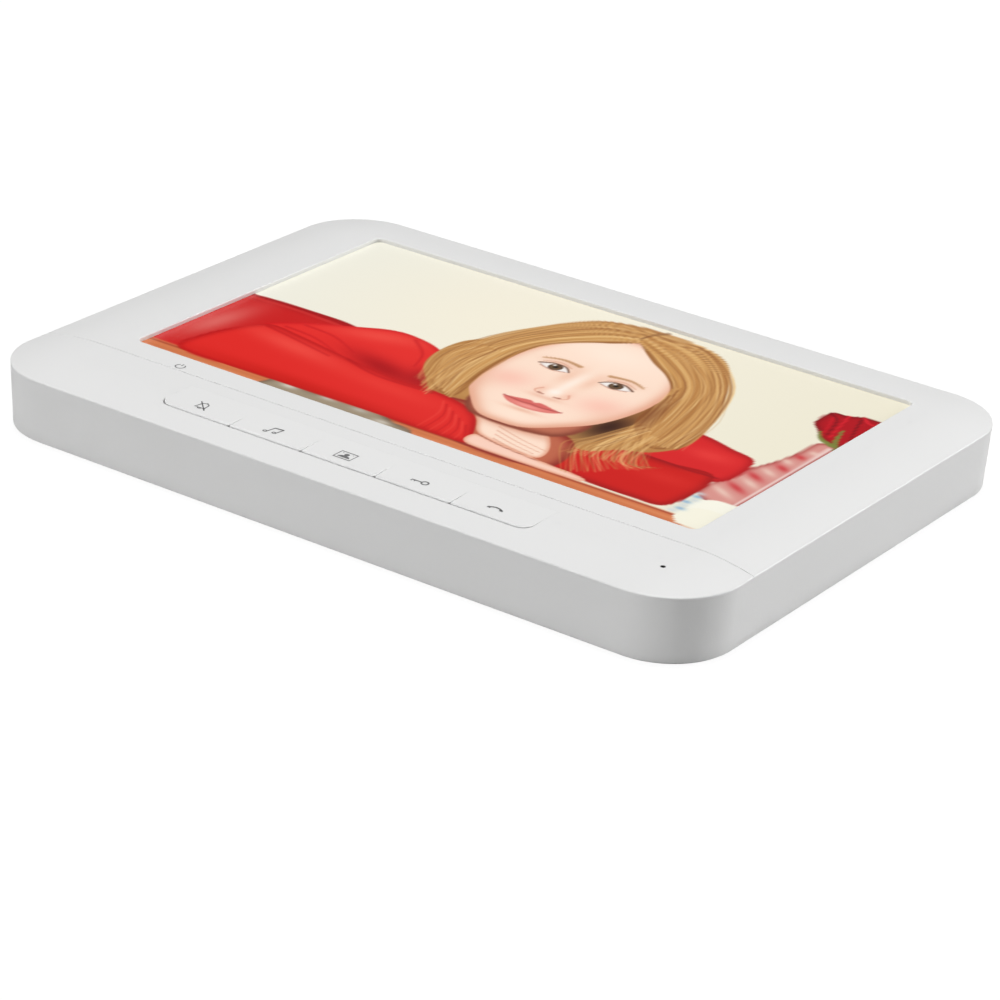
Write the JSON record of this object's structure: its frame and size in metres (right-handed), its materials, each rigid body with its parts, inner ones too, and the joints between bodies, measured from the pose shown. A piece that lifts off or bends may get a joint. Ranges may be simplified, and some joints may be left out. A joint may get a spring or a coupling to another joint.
{
  "type": "video intercom monitor",
  "caption": "Slim indoor video intercom monitor with a rounded white housing, a wide colour screen, a row of press keys, a microphone and a rear speaker.",
  "frame": {"origin": "middle of the footprint on the back face, with the monitor lying on its back", "axes": "+X along the long side to the right of the screen, +Y towards the top edge of the screen, +Z out of the screen"},
  "size_m": [0.194, 0.138, 0.017],
  "materials": {
    "white_shell": "satin white ABS",
    "white_key": "satin white ABS",
    "back_shell": "fine-textured white ABS",
    "label": "blank silver film label",
    "steel": "zinc-plated sheet and screws",
    "switch_plunger": "black moulded button",
    "circuit_board": "green solder mask",
    "clear_plastic": "clear moulded acrylic",
    "rubber": "black silicone rubber",
    "screen_glass": "polarising film over glass, showing a lit picture",
    "light_sheet": "white light sheet",
    "chip": "black epoxy",
    "ferrite": "dark ferrite and sleeve",
    "nylon": "natural nylon",
    "ribbon": "flat flexible cable",
    "paper_cone": "pressed paper"
  },
  "bodies": {
    "root": {"front_frame": "white_shell", "control_panel": "white_shell", "rear_cover": "back_shell", "rating_label": "label", "case_screw_1": "steel", "case_screw_2": "steel", "case_screw_3": "steel", "case_screw_4": "steel", "case_screw_5": "steel", "case_screw_6": "steel", "switch_mute": "steel", "switch_melody": "steel", "switch_view": "steel", "switch_unlock": "steel", "switch_talk": "steel", "key_rail": "white_key", "key_board": "circuit_board", "power_led": "clear_plastic", "light_guide": "clear_plastic", "microphone": "steel", "mic_boot": "rubber", "key_board_screw_1": "steel", "key_board_screw_2": "steel", "lcd_glass": "screen_glass", "backlight": "light_sheet", "lcd_tray": "steel", "lcd_bracket_left": "steel", "bracket_screw_left": "steel", "lcd_bracket_right": "steel", "bracket_screw_right": "steel", "main_board": "circuit_board", "processor": "chip", "memory_chip": "chip", "shield_can": "steel", "capacitor_1": "ferrite", "capacitor_2": "ferrite", "inductor": "ferrite", "power_socket": "nylon", "door_socket_1": "nylon", "door_socket_2": "nylon", "board_screw_1": "steel", "board_screw_2": "steel", "board_screw_3": "steel", "board_screw_4": "steel", "display_cable": "ribbon", "key_cable": "ribbon", "speaker_gasket": "rubber", "speaker_basket": "steel", "speaker_cone": "paper_cone", "speaker_magnet": "ferrite"},
    "mute_key": {"key_mute": "white_key"},
    "mute_plunger": {"plunger_mute": "switch_plunger"},
    "melody_key": {"key_melody": "white_key"},
    "melody_plunger": {"plunger_melody": "switch_plunger"},
    "view_key": {"key_view": "white_key"},
    "view_plunger": {"plunger_view": "switch_plunger"},
    "unlock_key": {"key_unlock": "white_key"},
    "unlock_plunger": {"plunger_unlock": "switch_plunger"},
    "talk_key": {"key_talk": "white_key"},
    "talk_plunger": {"plunger_talk": "switch_plunger"}
  },
  "joints": [
    {"name": "mute_key_press", "type": "hinge", "parent": "root", "child": "mute_key", "pos_m": [-0.0402, -0.0495, 0.016], "axis": [1, 0, 0], "range_deg": [0, 2.5], "stiffness_Nm_per_rad": 0.35},
    {"name": "mute_plunger_press", "type": "slide", "parent": "root", "child": "mute_plunger", "axis": [0, 0, -1], "range_m": [0, 0.0004], "stiffness_N_per_m": 0.3, "springref_m": -0.0005},
    {"name": "melody_key_press", "type": "hinge", "parent": "root", "child": "melody_key", "pos_m": [-0.0201, -0.0495, 0.016], "axis": [1, 0, 0], "range_deg": [0, 2.5], "stiffness_Nm_per_rad": 0.35},
    {"name": "melody_plunger_press", "type": "slide", "parent": "root", "child": "melody_plunger", "axis": [0, 0, -1], "range_m": [0, 0.0004], "stiffness_N_per_m": 0.3, "springref_m": -0.0005},
    {"name": "view_key_press", "type": "hinge", "parent": "root", "child": "view_key", "pos_m": [0, -0.0495, 0.016], "axis": [1, 0, 0], "range_deg": [0, 2.5], "stiffness_Nm_per_rad": 0.35},
    {"name": "view_plunger_press", "type": "slide", "parent": "root", "child": "view_plunger", "axis": [0, 0, -1], "range_m": [0, 0.0004], "stiffness_N_per_m": 0.3, "springref_m": -0.0005},
    {"name": "unlock_key_press", "type": "hinge", "parent": "root", "child": "unlock_key", "pos_m": [0.0201, -0.0495, 0.016], "axis": [1, 0, 0], "range_deg": [0, 2.5], "stiffness_Nm_per_rad": 0.35},
    {"name": "unlock_plunger_press", "type": "slide", "parent": "root", "child": "unlock_plunger", "axis": [0, 0, -1], "range_m": [0, 0.0004], "stiffness_N_per_m": 0.3, "springref_m": -0.0005},
    {"name": "talk_key_press", "type": "hinge", "parent": "root", "child": "talk_key", "pos_m": [0.0402, -0.0495, 0.016], "axis": [1, 0, 0], "range_deg": [0, 2.5], "stiffness_Nm_per_rad": 0.35},
    {"name": "talk_plunger_press", "type": "slide", "parent": "root", "child": "talk_plunger", "axis": [0, 0, -1], "range_m": [0, 0.0004], "stiffness_N_per_m": 0.3, "springref_m": -0.0005}
  ],
  "couplings": [
    {"joint": "mute_plunger_press", "follows": "mute_key_press", "m_per_rad": 0.009},
    {"joint": "melody_plunger_press", "follows": "melody_key_press", "m_per_rad": 0.009},
    {"joint": "view_plunger_press", "follows": "view_key_press", "m_per_rad": 0.009},
    {"joint": "unlock_plunger_press", "follows": "unlock_key_press", "m_per_rad": 0.009},
    {"joint": "talk_plunger_press", "follows": "talk_key_press", "m_per_rad": 0.009}
  ]
}
